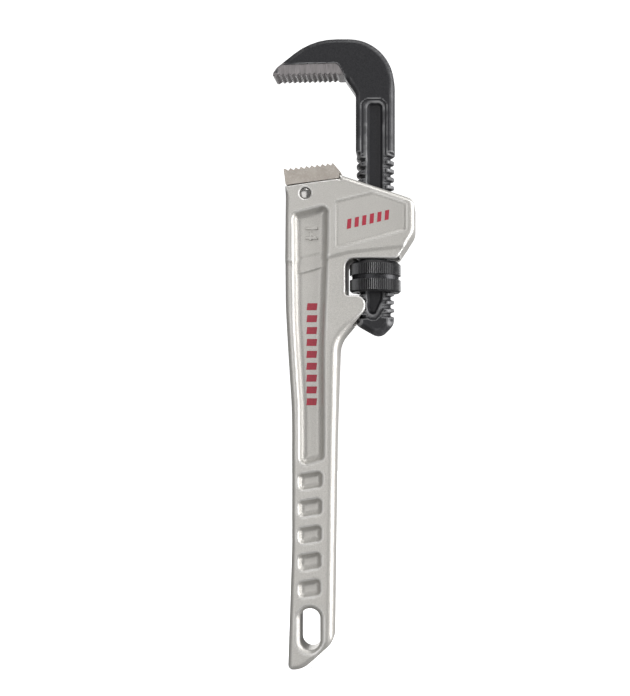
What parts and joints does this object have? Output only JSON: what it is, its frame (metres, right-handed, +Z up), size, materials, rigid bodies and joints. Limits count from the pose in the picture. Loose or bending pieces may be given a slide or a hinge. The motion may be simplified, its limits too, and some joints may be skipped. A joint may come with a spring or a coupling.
{
  "type": "pipe wrench",
  "caption": "Straight pipe wrench with an aluminium I-beam handle, a toothed heel jaw and a forged hook jaw set by a knurled nut.",
  "frame": {"origin": "centre of the hang slot in the handle's end, on the middle plane", "axes": "+Z up the handle towards the jaws, +X from the handle towards the hook jaw's shank, Y through the thickness"},
  "size_m": [0.0789, 0.0288, 0.3517],
  "materials": {
    "cast_aluminium": "satin, fine blasted grain",
    "forged_steel": "matte dark oxide, ground beside the teeth",
    "jaw_steel": "satin, warm grey",
    "pin_steel": "polished",
    "nut_steel": "black oxide, knurled",
    "spring_steel": "oiled"
  },
  "bodies": {
    "handle": {"handle_housing": "cast_aluminium", "heel_jaw": "jaw_steel", "heel_jaw_pin": "pin_steel", "front_coil_spring": "spring_steel", "back_coil_spring": "spring_steel"},
    "spring_shoes": {"front_spring_shoe": "spring_steel", "back_spring_shoe": "spring_steel"},
    "hook_jaw": {"hook_jaw": "forged_steel"},
    "nut": {"adjusting_nut": "nut_steel"}
  },
  "joints": [
    {"name": "jaw_rock", "type": "hinge", "parent": "handle", "child": "spring_shoes", "pos_m": [0.036, 0, 0.1965], "axis": [0, 1, 0], "range_deg": [-1, 2.5], "stiffness_Nm_per_rad": 12, "deforming": ["front_coil_spring", "back_coil_spring"]},
    {"name": "jaw_travel", "type": "slide", "parent": "spring_shoes", "child": "hook_jaw", "axis": [0, 0, 1], "range_m": [-0.0485, 0.0095]},
    {"name": "nut_spin", "type": "hinge", "parent": "spring_shoes", "child": "nut", "pos_m": [0.036, 0, 0.1965], "axis": [0, 0, 1], "range_deg": [-750, 3800]}
  ],
  "couplings": [
    {"joint": "nut_spin", "follows": "jaw_travel", "rad_per_m": -1365.9}
  ]
}
